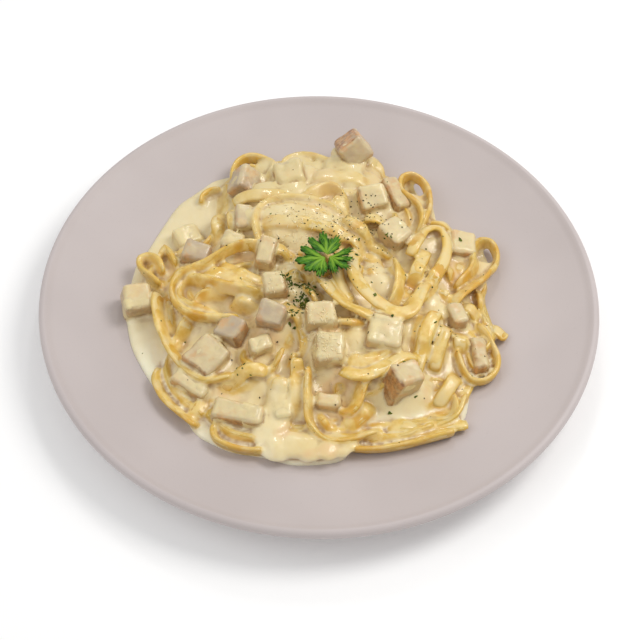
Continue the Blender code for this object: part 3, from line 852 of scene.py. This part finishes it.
class Heap:
    """Stacks noodles from the top down: each passes below all that were laid before it."""

    def __init__(self, dice_top):
        axis = np.arange(-MAP_HALF, MAP_HALF + 1)
        self.ceiling = dome(*np.meshgrid(axis, axis)) + HEADROOM
        self.ground = dome(*np.meshgrid(axis, axis))
        self.laid = np.zeros_like(self.ground)
        self.dice = dice_top
        self.random = random.Random(SEED)
        self.points, self.faces, self.across, self.tone = [], [], [], []
        self.count = 0
        self.mean = None

    def cell(self, x, y):
        """Row and column of the height maps at places."""
        index_x = np.clip(np.rint(x).astype(int) + MAP_HALF, 0, 2 * MAP_HALF)
        index_y = np.clip(np.rint(y).astype(int) + MAP_HALF, 0, 2 * MAP_HALF)
        return index_y, index_x

    def lay(self, lift, leans, over, way):
        """One noodle: its centre line is lowered until it clears all that lies over it."""
        flat = smooth_path(way, NOODLE_STEP)
        count = len(flat)
        lean = np.radians(along(leans, count))
        tall = (np.abs(np.sin(lean)) * NOODLE_WIDTH + np.abs(np.cos(lean)) * NOODLE_THICK) / 2
        wide = (np.abs(np.cos(lean)) * NOODLE_WIDTH + np.abs(np.sin(lean)) * NOODLE_THICK) / 2
        x, y = flat[:, 0], flat[:, 1] - SLANT * lift
        centre = dome(x, flat[:, 1]) + lift - tall
        side = left_of(unit(np.gradient(np.stack([x, y], axis=1), axis=0)))
        roof = np.full(count, NOWHERE)
        for share in (-1.0, -0.5, 0.0, 0.5, 1.0):
            rows, columns = self.cell(x + side[:, 0] * wide * share, y + side[:, 1] * wide * share)
            roof = np.minimum(roof, self.ceiling[rows, columns])
            if not over:
                roof = np.minimum(roof, self.dice[rows, columns])
        centre = soften(np.minimum(centre, roof - tall - NOODLE_GAP), DIP_REACH)
        centre -= END_DIP * np.clip(1.0 - from_ends(count) * NOODLE_STEP / END_REACH, 0.0, 1.0) ** 2
        centre = np.maximum(centre, plate_top(np.hypot(x, y)) + tall + NOODLE_CLEAR)
        for share in np.linspace(-1.0, 1.0, 7):
            rows, columns = self.cell(x + side[:, 0] * wide * share, y + side[:, 1] * wide * share)
            np.minimum.at(self.ceiling, (rows, columns), centre - np.minimum(tall, NOODLE_SINK))
            np.maximum.at(self.laid, (rows, columns), centre + tall)
        self.sweep(np.stack([x, y, centre], axis=1), lean)

    def sweep(self, way, lean):
        """The noodle's skin: rounded flat rings along its way, and a point at each end."""
        count, sides = len(way), NOODLE_SIDES
        run = unit(np.gradient(way, axis=0))
        left = unit(np.cross((0.0, 0.0, 1.0), run))
        up = np.cross(run, left)
        cos, sin = np.cos(lean)[:, None], np.sin(lean)[:, None]
        wide, face = cos * left - sin * up, sin * left + cos * up
        shift = self.random.uniform(0, 900)
        at = np.arange(count) * NOODLE_STEP
        none = np.zeros(count)
        swell = noise_at(np.column_stack([at, none + shift, none]), NOODLE_SWELL[0])
        ripple = noise_at(np.column_stack([at, none + shift + 40, none]), NOODLE_RIPPLE[0])
        cup = self.random.uniform(*NOODLE_CUP)
        angle = 2 * math.pi * np.arange(sides) / sides
        across, deep = squarish(np.cos(angle), 0.7), squarish(np.sin(angle), 0.8)
        ends = np.minimum(1.0, 0.8 + 0.2 * from_ends(count))
        half = NOODLE_WIDTH / 2 * (1.0 + NOODLE_SWELL[1] * swell) * ends
        height = NOODLE_THICK / 2 * (1.0 + NOODLE_RIPPLE[1] * ripple) * ends
        rings = (way[:, None, :]
                 + wide[:, None, :] * (half[:, None] * across)[:, :, None]
                 + face[:, None, :] * (height[:, None] * deep
                                       + (cup + 0.5 * swell[:, None]) * (across ** 2 - 0.4)
                                       + NOODLE_TWIST * ripple[:, None] * across)[:, :, None])
        start = self.count
        self.points.append(rings.reshape(-1, 3))
        self.points.append(np.stack([way[0] - run[0] * 0.5, way[-1] + run[-1] * 0.5]))
        row = start + sides * np.arange(count - 1)[:, None]
        k = np.arange(sides)[None, :]
        after = (k + 1) % sides
        quads = np.stack([row + k, row + after, row + sides + after, row + sides + k], axis=-1).reshape(-1, 4)
        self.faces += quads.tolist()
        tip = start + sides * count
        self.faces += fan(tip, start, sides, True) + fan(tip + 1, tip - sides, sides)
        self.across.append(np.tile(np.abs(across), count))
        self.across.append(np.ones(2))
        self.tone.append(np.full(sides * count + 2, self.random.random()))
        self.count += sides * count + 2

    def level(self, x, y):
        """Mean height of the noodles' tops round a place."""
        if self.mean is None:
            tops = np.where(self.dice < NOWHERE, np.maximum(self.laid, self.dice - DICE_COLLAR), self.laid)
            self.mean = blurred(tops, CORE_REACH) / np.maximum(blurred(tops > 0.0, CORE_REACH), 1e-6)
        rows, columns = self.cell(x, y)
        return self.mean[rows, columns]

    def beside(self, strand, reach):
        """A noodle that runs along another one, a little lower."""
        lift, leans, _, way = strand
        side = self.random.choice((-1, 1)) * self.random.uniform(*BESIDE_OFF)
        flat = smooth_path(way, 4.0)
        moved = flat + side * left_of(unit(np.gradient(flat, axis=0)))
        off = [noise_at(np.column_stack([moved, np.full(len(moved), k)]), 14.0) for k in (1.0, 30.0)]
        moved = self.inside(moved + BESIDE_WANDER * np.stack(off, axis=1), reach)
        lean = [value + self.random.uniform(-BESIDE_LEAN, BESIDE_LEAN) for value in leans]
        return lift - self.random.uniform(*BESIDE_DROP), lean, False, moved[::2]

    def inside(self, way, reach):
        """The same way, held within the heap's outline."""
        far = np.hypot(way[:, 0], way[:, 1])
        limit = reach(np.arctan2(way[:, 1], way[:, 0])) - FILL_INSET
        return way * np.minimum(1.0, limit / np.maximum(far, 1e-6))[:, None]

    def arc(self, reach):
        """A curved way somewhere on the heap."""
        turn = self.random.uniform(0, 2 * math.pi)
        far = math.sqrt(self.random.random()) * FILL_SPREAD
        centre = np.array([math.cos(turn), math.sin(turn)]) * reach(turn) * far
        radius = self.random.uniform(*FILL_RADIUS)
        begin = self.random.uniform(0, 2 * math.pi)
        sweep = self.random.uniform(*FILL_SWEEP) * self.random.choice((-1, 1))
        angles = begin + sweep * np.linspace(0, 1, 9)
        squeeze = self.random.uniform(*FILL_SQUEEZE)
        way = centre + np.stack([radius * np.cos(angles), radius * squeeze * np.sin(angles)], axis=1)
        return self.inside(way, reach)

    def need(self, way):
        """How much of this way runs where nothing lies near the heap's surface yet."""
        flat = smooth_path(way, 2.0)
        rows, columns = self.cell(flat[:, 0], flat[:, 1])
        bare = self.ground[rows, columns] - self.laid[rows, columns] > FILL_HOLLOW
        bare &= self.dice[rows, columns] == NOWHERE
        return bare.sum() / len(flat) ** 0.5

    def fill(self, reach):
        """Curved noodles below the others, each chosen to cover what is still bare."""
        for _ in range(FILL_COUNT):
            way = max((self.arc(reach) for _ in range(FILL_TRIES)), key=self.need)
            if in_hole(way[:, 0], way[:, 1], NOODLE_WIDTH / 2, HOLES + CREAMY).any():
                continue
            lean = self.random.choice(FILL_LEANS)
            drop = self.random.uniform(*FILL_DEPTH)
            self.lay(-drop, (lean, self.random.uniform(0, FILL_TWIST)), False, way)

    def make(self):
        made = new_piece("noodles", np.concatenate(self.points), self.faces, pasta_look())
        add_values(made, "across", np.concatenate(self.across))
        add_values(made, "tone", np.concatenate(self.tone))
        return finish_piece(made, "pasta", "noodle_heap")


def reach_of(node):
    """Outline radius of a CAD node at an angle, smoothly from its own points."""
    points = np.array([v.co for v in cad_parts[node].data.vertices]) / MM
    bins, turn = 36, 2 * math.pi
    index = np.floor((np.arctan2(points[:, 1], points[:, 0]) % turn) / turn * bins).astype(int) % bins
    radius = np.array([np.hypot(points[index == k, 0], points[index == k, 1]).max() for k in range(bins)])
    middle = (np.arange(bins) + 0.5) * turn / bins
    return lambda angle: np.interp(np.asarray(angle) % turn, middle, radius, period=turn)


def tops_of(names):
    """Height of the highest of these nodes over each whole millimetre, and very high where there is none."""
    points, faces = [], []
    for name in names:
        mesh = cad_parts[name].data
        base = len(points)
        points += [v.co / MM for v in mesh.vertices]
        faces += [[base + i for i in polygon.vertices] for polygon in mesh.polygons]
    tree, side = BVHTree.FromPolygons(points, faces), 2 * MAP_HALF + 1
    heights = np.full((side, side), NOWHERE)
    for row in range(side):
        for column in range(side):
            hit = tree.ray_cast(Vector((column - MAP_HALF, row - MAP_HALF, SKY)), Vector((0, 0, -1)))
            if hit[0]:
                heights[row, column] = hit[0].z - DICE_HIDE
    return heights


# ---- chicken

def make_dice(names):
    look = chicken_look()
    dice = []
    for name in names:
        number = int(name[-2:])
        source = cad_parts[name]
        made = bpy.data.objects.new("dice_%02d" % number, source.data.copy())
        bpy.context.scene.collection.objects.link(made)
        made.data.materials.clear()
        made.data.materials.append(look)
        add_modifier(made, "REMESH", mode="VOXEL", voxel_size=CHICKEN_VOXEL * MM)
        add_modifier(made, "SMOOTH", factor=0.5, iterations=2)
        bake_modifiers(made)
        points, normals = points_of(made), normals_of(made)
        rough = sum(height * noise_at(points, size, number) for size, height in CHICKEN_ROUGH)
        points += normals * (rough - CHICKEN_SHRINK)[:, None]
        move_points(made, points)
        made.data.shade_smooth()
        normals = normals_of(made)
        turn, rise, strength, grey, film = SEAR_AND_SHADE[number]
        turn, rise = math.radians(turn), math.radians(rise)
        way = np.array([math.cos(turn) * math.cos(rise), math.sin(turn) * math.cos(rise), math.sin(rise)])
        facing = normals @ way + 0.25 * noise_at(points, 4.0, number + 7)
        # Browning on the faces turned this way: partly real searing, partly painted shade
        add_values(made, "sear_and_shade", strength * step_between(0.35, 0.85, facing))
        add_values(made, "grey", np.clip(grey * (0.6 + 0.5 * noise_at(points, 6.0, number + 3)), 0, 1))
        add_values(made, "film", np.full(len(points), film))
        dice.append(finish_piece(made, "chicken", name))
    return dice


# ---- cream

def pool_mesh():
    """The pool as a low closed form: flat on top, round at its edge."""
    outline = smooth_path(POOL_OUTLINE, 2.5, closed=True)[:-1]
    count = len(outline)
    inward = left_of(unit(np.roll(outline, -1, axis=0) - np.roll(outline, 1, axis=0)))
    points = []
    for share in POOL_SHARES:
        place = outline + inward * POOL_EDGE * share
        low = plate_top(np.hypot(place[:, 0], place[:, 1]))
        rise = math.sqrt(1.0 - (1.0 - share) ** 2)
        points.append(np.column_stack([place, low + np.maximum(POOL_TOP - low, POOL_THIN) * rise]))
    points.append(np.array([(*POOL_MIDDLE, POOL_TOP)]))
    points.append(np.column_stack([outline, plate_top(np.hypot(outline[:, 0], outline[:, 1])) - UNDER_PLATE]))
    points.append(np.array([(*POOL_MIDDLE, PLATE_FLOOR - UNDER_PLATE)]))
    points = np.concatenate(points)
    faces, steps = [], len(POOL_SHARES)
    for row in range(steps - 1):
        for k in range(count):
            after = (k + 1) % count
            faces.append((row * count + k, row * count + after, (row + 1) * count + after))
            faces.append((row * count + k, (row + 1) * count + after, (row + 1) * count + k))
    top, low = steps * count, steps * count + 1
    for k in range(count):
        after = (k + 1) % count
        faces.append(((steps - 1) * count + k, (steps - 1) * count + after, top))
        faces.append((low + k, after, k))
        faces.append((low + k, low + after, after))
        faces.append((low + after, low + k, low + count))
    return points, np.array(faces)


def core_mesh(reach, level):
    """A mound that follows the tops of the noodles a little lower, which holds them up."""
    rings, steps = np.linspace(0.0, 1.0, CORE_RINGS + 1)[1:], CORE_STEPS
    angles = np.arange(steps) * 2 * math.pi / steps
    points = [(0.0, 0.0, float(level(np.zeros(1), np.zeros(1))[0]) - CORE_DEPTH)]
    for ring in rings:
        radius = ring * (reach(angles) - CORE_INSET)
        x, y = radius * np.cos(angles), radius * np.sin(angles)
        fall = CORE_EDGE[1] * max(0.0, ring - CORE_EDGE[0]) / (1.0 - CORE_EDGE[0])
        z = level(x, y) - CORE_DEPTH - fall - CORE_HOLE * in_hole(x, y)
        z = np.maximum(z, plate_top(radius) + 0.5)
        points += list(zip(x, y, z))
    outer = reach(angles) - CORE_INSET
    points += list(zip(outer * np.cos(angles), outer * np.sin(angles), plate_top(outer) - UNDER_PLATE))
    points.append((0.0, 0.0, PLATE_FLOOR - UNDER_PLATE))
    faces = fan(0, 1, steps)
    for row in range(len(rings)):
        a, b = 1 + row * steps, 1 + (row + 1) * steps
        for k in range(steps):
            after = (k + 1) % steps
            faces += [(a + k, b + k, b + after), (a + k, b + after, a + after)]
    faces += fan(len(points) - 1, 1 + len(rings) * steps, steps, True)
    return np.array(points), np.array(faces)


def lump_mesh(level):
    """Thick cream as flattened, uneven balls with their tops over the noodles."""
    parts = []
    for x, y, reach, lift in LUMPS:
        points, faces = ball(3, 1.0)
        points *= (1.0 + LUMP_UNEVEN * noise_at(points + (x, y, 0.0), 1.1))[:, None]
        top = float(level(np.array([x]), np.array([y]))[0]) + lift
        parts.append((points * (reach, reach, reach * LUMP_TALL) + (x, y, top - reach * LUMP_TALL), faces))
    return joined(parts)


def offset_surface(points, triangles, quads, reach):
    """The surface that lies this far outside a closed one, or inside it."""
    field = openvdb.FloatGrid.createLevelSetFromPolygons(
        np.asarray(points, np.float32), triangles=np.asarray(triangles, np.uint32).reshape(-1, 3),
        quads=np.asarray(quads, np.uint32).reshape(-1, 4),
        transform=openvdb.createLinearTransform(voxelSize=SAUCE_VOXEL),
        halfWidth=abs(reach) / SAUCE_VOXEL + 3.0)
    return field.convertToPolygons(isovalue=reach, adaptivity=0.0)


def coverage(points):
    """How thick the cream lies over what is below it."""
    cover = SAUCE_BASE + SAUCE_WAVE * noise_at(points * (1, 1, 0.6), 15.0, 3.3)
    cover += SAUCE_RIPPLE * noise_at(points, 6.0, 8.1)
    for x, y, reach, amount in SAUCE_PATCHES:
        cover += amount * np.exp(-((points[:, 0] - x) ** 2 + (points[:, 1] - y) ** 2) / (reach * reach))
    return cover


def keep_outer_shell(made):
    """Removes the closed pockets inside the cream and any loose bits."""
    work = bmesh.new()
    work.from_mesh(made.data)
    work.verts.ensure_lookup_table()
    seen = [False] * len(work.verts)
    shells = []
    for start in work.verts:
        if seen[start.index]:
            continue
        seen[start.index] = True
        shell, stack = [start], [start]
        while stack:
            for edge in stack.pop().link_edges:
                for vertex in edge.verts:
                    if not seen[vertex.index]:
                        seen[vertex.index] = True
                        shell.append(vertex)
                        stack.append(vertex)
        shells.append(shell)
    largest = max(shells, key=len)
    lost = [vertex for shell in shells if shell is not largest for vertex in shell]
    bmesh.ops.delete(work, geom=lost, context="VERTS")
    bmesh.ops.recalc_face_normals(work, faces=work.faces)
    work.to_mesh(made.data)
    work.free()
    made.data.update()


def make_cream(noodles, dice, reach, level):
    """Cream fills the hollows between the pieces, and lies thin or thick over them."""
    solids = surfaces([noodles] + dice)
    points, faces = joined(solids + [pool_mesh(), core_mesh(reach, level), lump_mesh(level)])
    grown = offset_surface(points, faces, [], SAUCE_FILL)
    points, triangles, quads = offset_surface(*grown, -SAUCE_FILL)
    made = new_piece("cream", points, [*triangles, *quads], cream_look())
    add_modifier(made, "SMOOTH", factor=0.5, iterations=3)
    bake_modifiers(made)
    keep_outer_shell(made)
    points, normals = points_of(made), normals_of(made)
    thick = coverage(points)
    distance, which = nearest(points, solids[1:], MEAT_THINS[1])
    coats = np.array([SEAR_AND_SHADE[int(piece.name[-2:])][4] for piece in dice])[which]
    bare = np.maximum(0.0, DICE_BARE - coats + 0.9 * noise_at(points, 6.0, 21.0))
    thick -= (1.0 - step_between(*MEAT_THINS, distance)) * bare
    on_heap = step_between(*COAT_RISE, points[:, 2])
    points += normals * (thick * on_heap)[:, None]
    low = plate_top(np.hypot(points[:, 0], points[:, 1]))
    points[:, 2] = np.maximum(points[:, 2], low - 0.4)
    move_points(made, points)
    add_modifier(made, "DECIMATE", ratio=min(1.0, SAUCE_TRIANGLES / len(triangles_of(made))))
    bake_modifiers(made)
    points = points_of(made)
    made.data.shade_smooth()
    add_values(made, "pool", 1.0 - step_between(*POOL_FADE, points[:, 2]))
    # How much painted shade darkens each point, from how deep it lies in a crease
    add_values(made, "crease_shade", step_between(*CREASE_SHADE_DEPTHS, crease_of(made)))
    add_values(made, "thin", nearness(points, solids[:1], *NOODLE_SHOWS))
    add_values(made, "meat", nearness(points, solids[1:], *MEAT_SHOWS) * 0.9)
    return finish_piece(made, "cream", "cream_sauce")


def crease_of(made, rounds=3):
    """How deep each point lies in a crease: the way to its neighbours' middle, along its normal."""
    points, normals = points_of(made), normals_of(made)
    a, b = read(made.data.edges, "vertices", np.int32, 2).T

    def total(values):
        return np.bincount(a, values[b], len(points)) + np.bincount(b, values[a], len(points))

    count = np.maximum(total(np.ones(len(points))), 1)

    middle = points
    for _ in range(rounds):
        middle = np.stack([total(middle[:, k]) / count for k in range(3)], axis=1)
    return np.einsum("ij,ij->i", middle - points, normals)


def nearest(points, solids, far):
    """Distance to the nearest surface of these solids, and which of them it is."""
    owner = np.repeat(np.arange(len(solids)), [len(triangles) for _, triangles in solids])
    tree = tree_of(solids)
    distance, which = np.full(len(points), NOWHERE), np.zeros(len(points), int)
    for index, point in enumerate(points):
        spot, _, face, length = tree.find_nearest(Vector(point), far + SEARCH_MARGIN)
        if spot is not None:
            distance[index], which[index] = length, owner[face]
    return distance, which


def nearness(points, solids, near, far):
    """1 where a surface of these solids lies just below a point, 0 where it is further off."""
    return 1.0 - step_between(near, far, nearest(points, solids, far)[0])


# ---- parsley and sprinkles

def leaflet(base, turn, length, spread, lobes, chance):
    """One fan of a leaf: joined lobes with rounded teeth, creased between the lobes."""
    rows, columns = 12, lobes * 30 + 1
    sizes = [chance.uniform(0.86, 1.0) for _ in range(lobes)]
    bends = [chance.uniform(-0.5, 0.9) for _ in range(lobes)]
    points, veins, tip_shade = [], [], []
    for i in range(rows):
        u = i / (rows - 1)
        for j in range(columns):
            along_fan = j / (columns - 1) * lobes
            which = min(lobes - 1, int(along_fan))
            phase = along_fan - which
            lobe = math.sin(math.pi * phase)
            v = 2.0 * j / (columns - 1) - 1.0
            teeth = abs(math.sin(5.0 * math.pi * phase)) ** 0.8
            outline = sizes[which] * (0.36 + 0.48 * lobe ** 0.55) * (1.0 - 0.14 * v * v)
            outline += 0.15 * teeth * lobe ** 0.4
            reach = length * outline * u
            angle = turn + v * spread * (0.72 + 0.28 * u) + 0.05 * math.sin(7.0 * u + which)
            frill = 0.6 * u ** 3 * math.sin(10.0 * math.pi * phase)
            height = 0.4 + 1.0 * u * lobe + bends[which] * u * u + frill - 0.7 * u * (1.0 - lobe)
            points.append((base[0] + reach * math.cos(angle), base[1] + reach * math.sin(angle),
                           base[2] + height))
            # Lighter along the lobe midribs: partly the real veins, partly a painted highlight
            veins.append(abs(phase - 0.5) * 2.0 * u + 0.5 * u ** 3)
            # Painted shade, strongest in the notches between the lobes towards the outer edge
            tip_shade.append(u * (0.55 + 0.45 * (1.0 - lobe)))
    faces = [(i * columns + j, i * columns + j + 1, (i + 1) * columns + j + 1, (i + 1) * columns + j)
             for i in range(rows - 1) for j in range(columns - 1)]
    return points, faces, veins, tip_shade


def make_parsley():
    chance = random.Random(SEED + 5)
    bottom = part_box("parsley_sprig")[0].z / MM - LEAF_SINK
    points, faces, veins, tip_shade = [], [], [], []
    for degrees, spread, length, lobes, lift in LEAFLETS:
        turn = math.radians(degrees)
        root = (SPRIG_CENTRE[0] + LEAFLET_ROOT * math.cos(turn),
                SPRIG_CENTRE[1] + LEAFLET_ROOT * math.sin(turn), bottom + lift)
        some, quads, middle, tip = leaflet(root, turn, length, math.radians(spread), lobes, chance)
        faces += [[len(points) + i for i in quad] for quad in quads]
        points += some
        veins += middle
        tip_shade += tip
    made = new_piece("parsley", points, faces, leaf_look())
    add_values(made, "vein", veins)
    add_values(made, "tip", tip_shade)
    add_modifier(made, "SOLIDIFY", thickness=LEAF_THICK * MM, offset=0.0)
    bake_modifiers(made)
    made.data.shade_smooth()
    return finish_piece(made, "herb", "parsley_sprig")


def fleck(chance, size, flat):
    """A small uneven lump, flattened."""
    points, faces = ball(1, size / 2)
    stretch = chance.uniform(0.6, 1.6)
    points *= np.array([[chance.uniform(0.7, 1.2)] for _ in points]) * (stretch, 1.0, flat)
    return points, faces


def flake(chance, size):
    """A curled scrap of dried leaf."""
    count, bend = 9, chance.uniform(-0.5, 0.8)
    radii = [size / 2 * chance.uniform(0.45, 1.1) for _ in range(count)]
    narrow = chance.uniform(0.35, 0.9)
    rim = [(r * math.cos(k * 2 * math.pi / count), narrow * r * math.sin(k * 2 * math.pi / count))
           for k, r in enumerate(radii)]
    top = [(x, y, 0.12 + bend * x * x / size) for x, y in rim]
    low = [(x * 0.9, y * 0.9, z - 0.24) for x, y, z in top]
    points = np.array(top + low + [(0.0, 0.0, 0.22), (0.0, 0.0, -0.12)])
    faces = []
    for k in range(count):
        after = (k + 1) % count
        faces += [(k, after, 2 * count), (count + after, count + k, 2 * count + 1),
                  (k, count + k, count + after), (k, count + after, after)]
    return points, np.array(faces)


def shred(chance, length, thick):
    """A curved sliver of grated cheese."""
    count, bend = 5, chance.uniform(-0.9, 0.9)
    at = np.linspace(-0.5, 0.5, count)
    rise = 0.15 * length * chance.uniform(-1, 1)
    way = np.stack([at * length, bend * length * 0.4 * at ** 2, rise * at ** 2 * 4], axis=1)
    size = thick * (1.0 - 0.6 * np.abs(at * 2) ** 3)
    corners = np.array([(0, 1, 0.6), (0, -1, 0.6), (0, -1, -0.6), (0, 1, -0.6)]) / 2
    points = (way[:, None, :] + corners[None] * size[:, None, None]).reshape(-1, 3)
    faces = []
    for row in range(count - 1):
        for k in range(4):
            a, b = row * 4 + k, row * 4 + (k + 1) % 4
            faces += [(a, b, b + 4), (a, b + 4, a + 4)]
    end = 4 * (count - 1)
    faces += [(0, 2, 1), (0, 3, 2), (end, end + 1, end + 2), (end, end + 2, end + 3)]
    return points, np.array(faces)


def scatter(name, tree, chance, spots, shape, look, slot, lift, wild=0.3):
    """Small shapes laid on the food, each turned to the surface."""
    parts = []
    for x, y in spots:
        hit = tree.ray_cast(Vector((x, y, SKY)), Vector((0, 0, -1)))
        if hit[0] is None or hit[0].z < POOL_TOP - SPRINKLE_LOW:
            continue
        normal = (hit[1] + Vector([chance.uniform(-wild, wild) for _ in range(3)])).normalized()
        turn = normal.to_track_quat("Z", "Y").to_matrix() @ Matrix.Rotation(chance.uniform(0, 6.3), 3, "Z")
        points, faces = shape(chance)
        place = np.array(hit[0]) + np.array(normal) * lift
        parts.append((points @ np.array(turn).T + place, faces))
    points, faces = joined(parts)
    finish_piece(new_piece(name, points, faces, look), slot)


def spots_in(chance, count, clusters):
    """Map places drawn from clusters of centre, reach and weight."""
    weights = [weight for _, _, _, weight in clusters]
    spots = []
    for _ in range(count):
        x, y, reach, _ = chance.choices(clusters, weights)[0]
        x, y = chance.gauss(x, reach), chance.gauss(y, reach)
        spots.append((x, y - SLANT))
    return spots


def make_sprinkles(tree):
    chance = random.Random(SEED + 9)
    scatter("pepper", tree, chance, spots_in(chance, PEPPER_COUNT, PEPPER_AT),
            lambda c: fleck(c, c.uniform(0.35, 0.95), 0.6),
            fleck_look("pepper", PEPPER, 0.6), "herb", 0.05)
    scatter("herbs", tree, chance, spots_in(chance, HERB_COUNT, HERB_AT),
            lambda c: flake(c, c.choice(HERB_SIZES)),
            fleck_look("dried_herb", DRIED_HERB, 0.6), "herb", 0.05)
    scatter("grated_cheese", tree, chance, spots_in(chance, CHEESE_COUNT, CHEESE_AT),
            lambda c: shred(c, c.uniform(0.8, 2.4), c.uniform(0.25, 0.45)),
            fleck_look("grated_cheese", CHEESE, 0.45), "cream", 0.1, 0.5)


# ---- all of it

def main():
    make_camera()
    make_light()
    make_floor()
    make_plate()
    names = sorted(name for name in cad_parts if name.startswith("chicken"))
    reach = reach_of("noodle_heap")
    heap = Heap(tops_of(names))
    for strand in STRANDS:
        heap.lay(*strand)
    for strand in STRANDS:
        lift, leans, over, way = heap.beside(strand, reach)
        if not in_hole(way[:, 0], way[:, 1], NOODLE_WIDTH / 2).any():
            heap.lay(lift, leans, over, way)
    heap.fill(reach)
    noodles = heap.make()
    dice = make_dice(names)
    cream = make_cream(noodles, dice, reach, heap.level)
    make_parsley()
    make_sprinkles(tree_of(surfaces([noodles, cream] + dice)))


main()
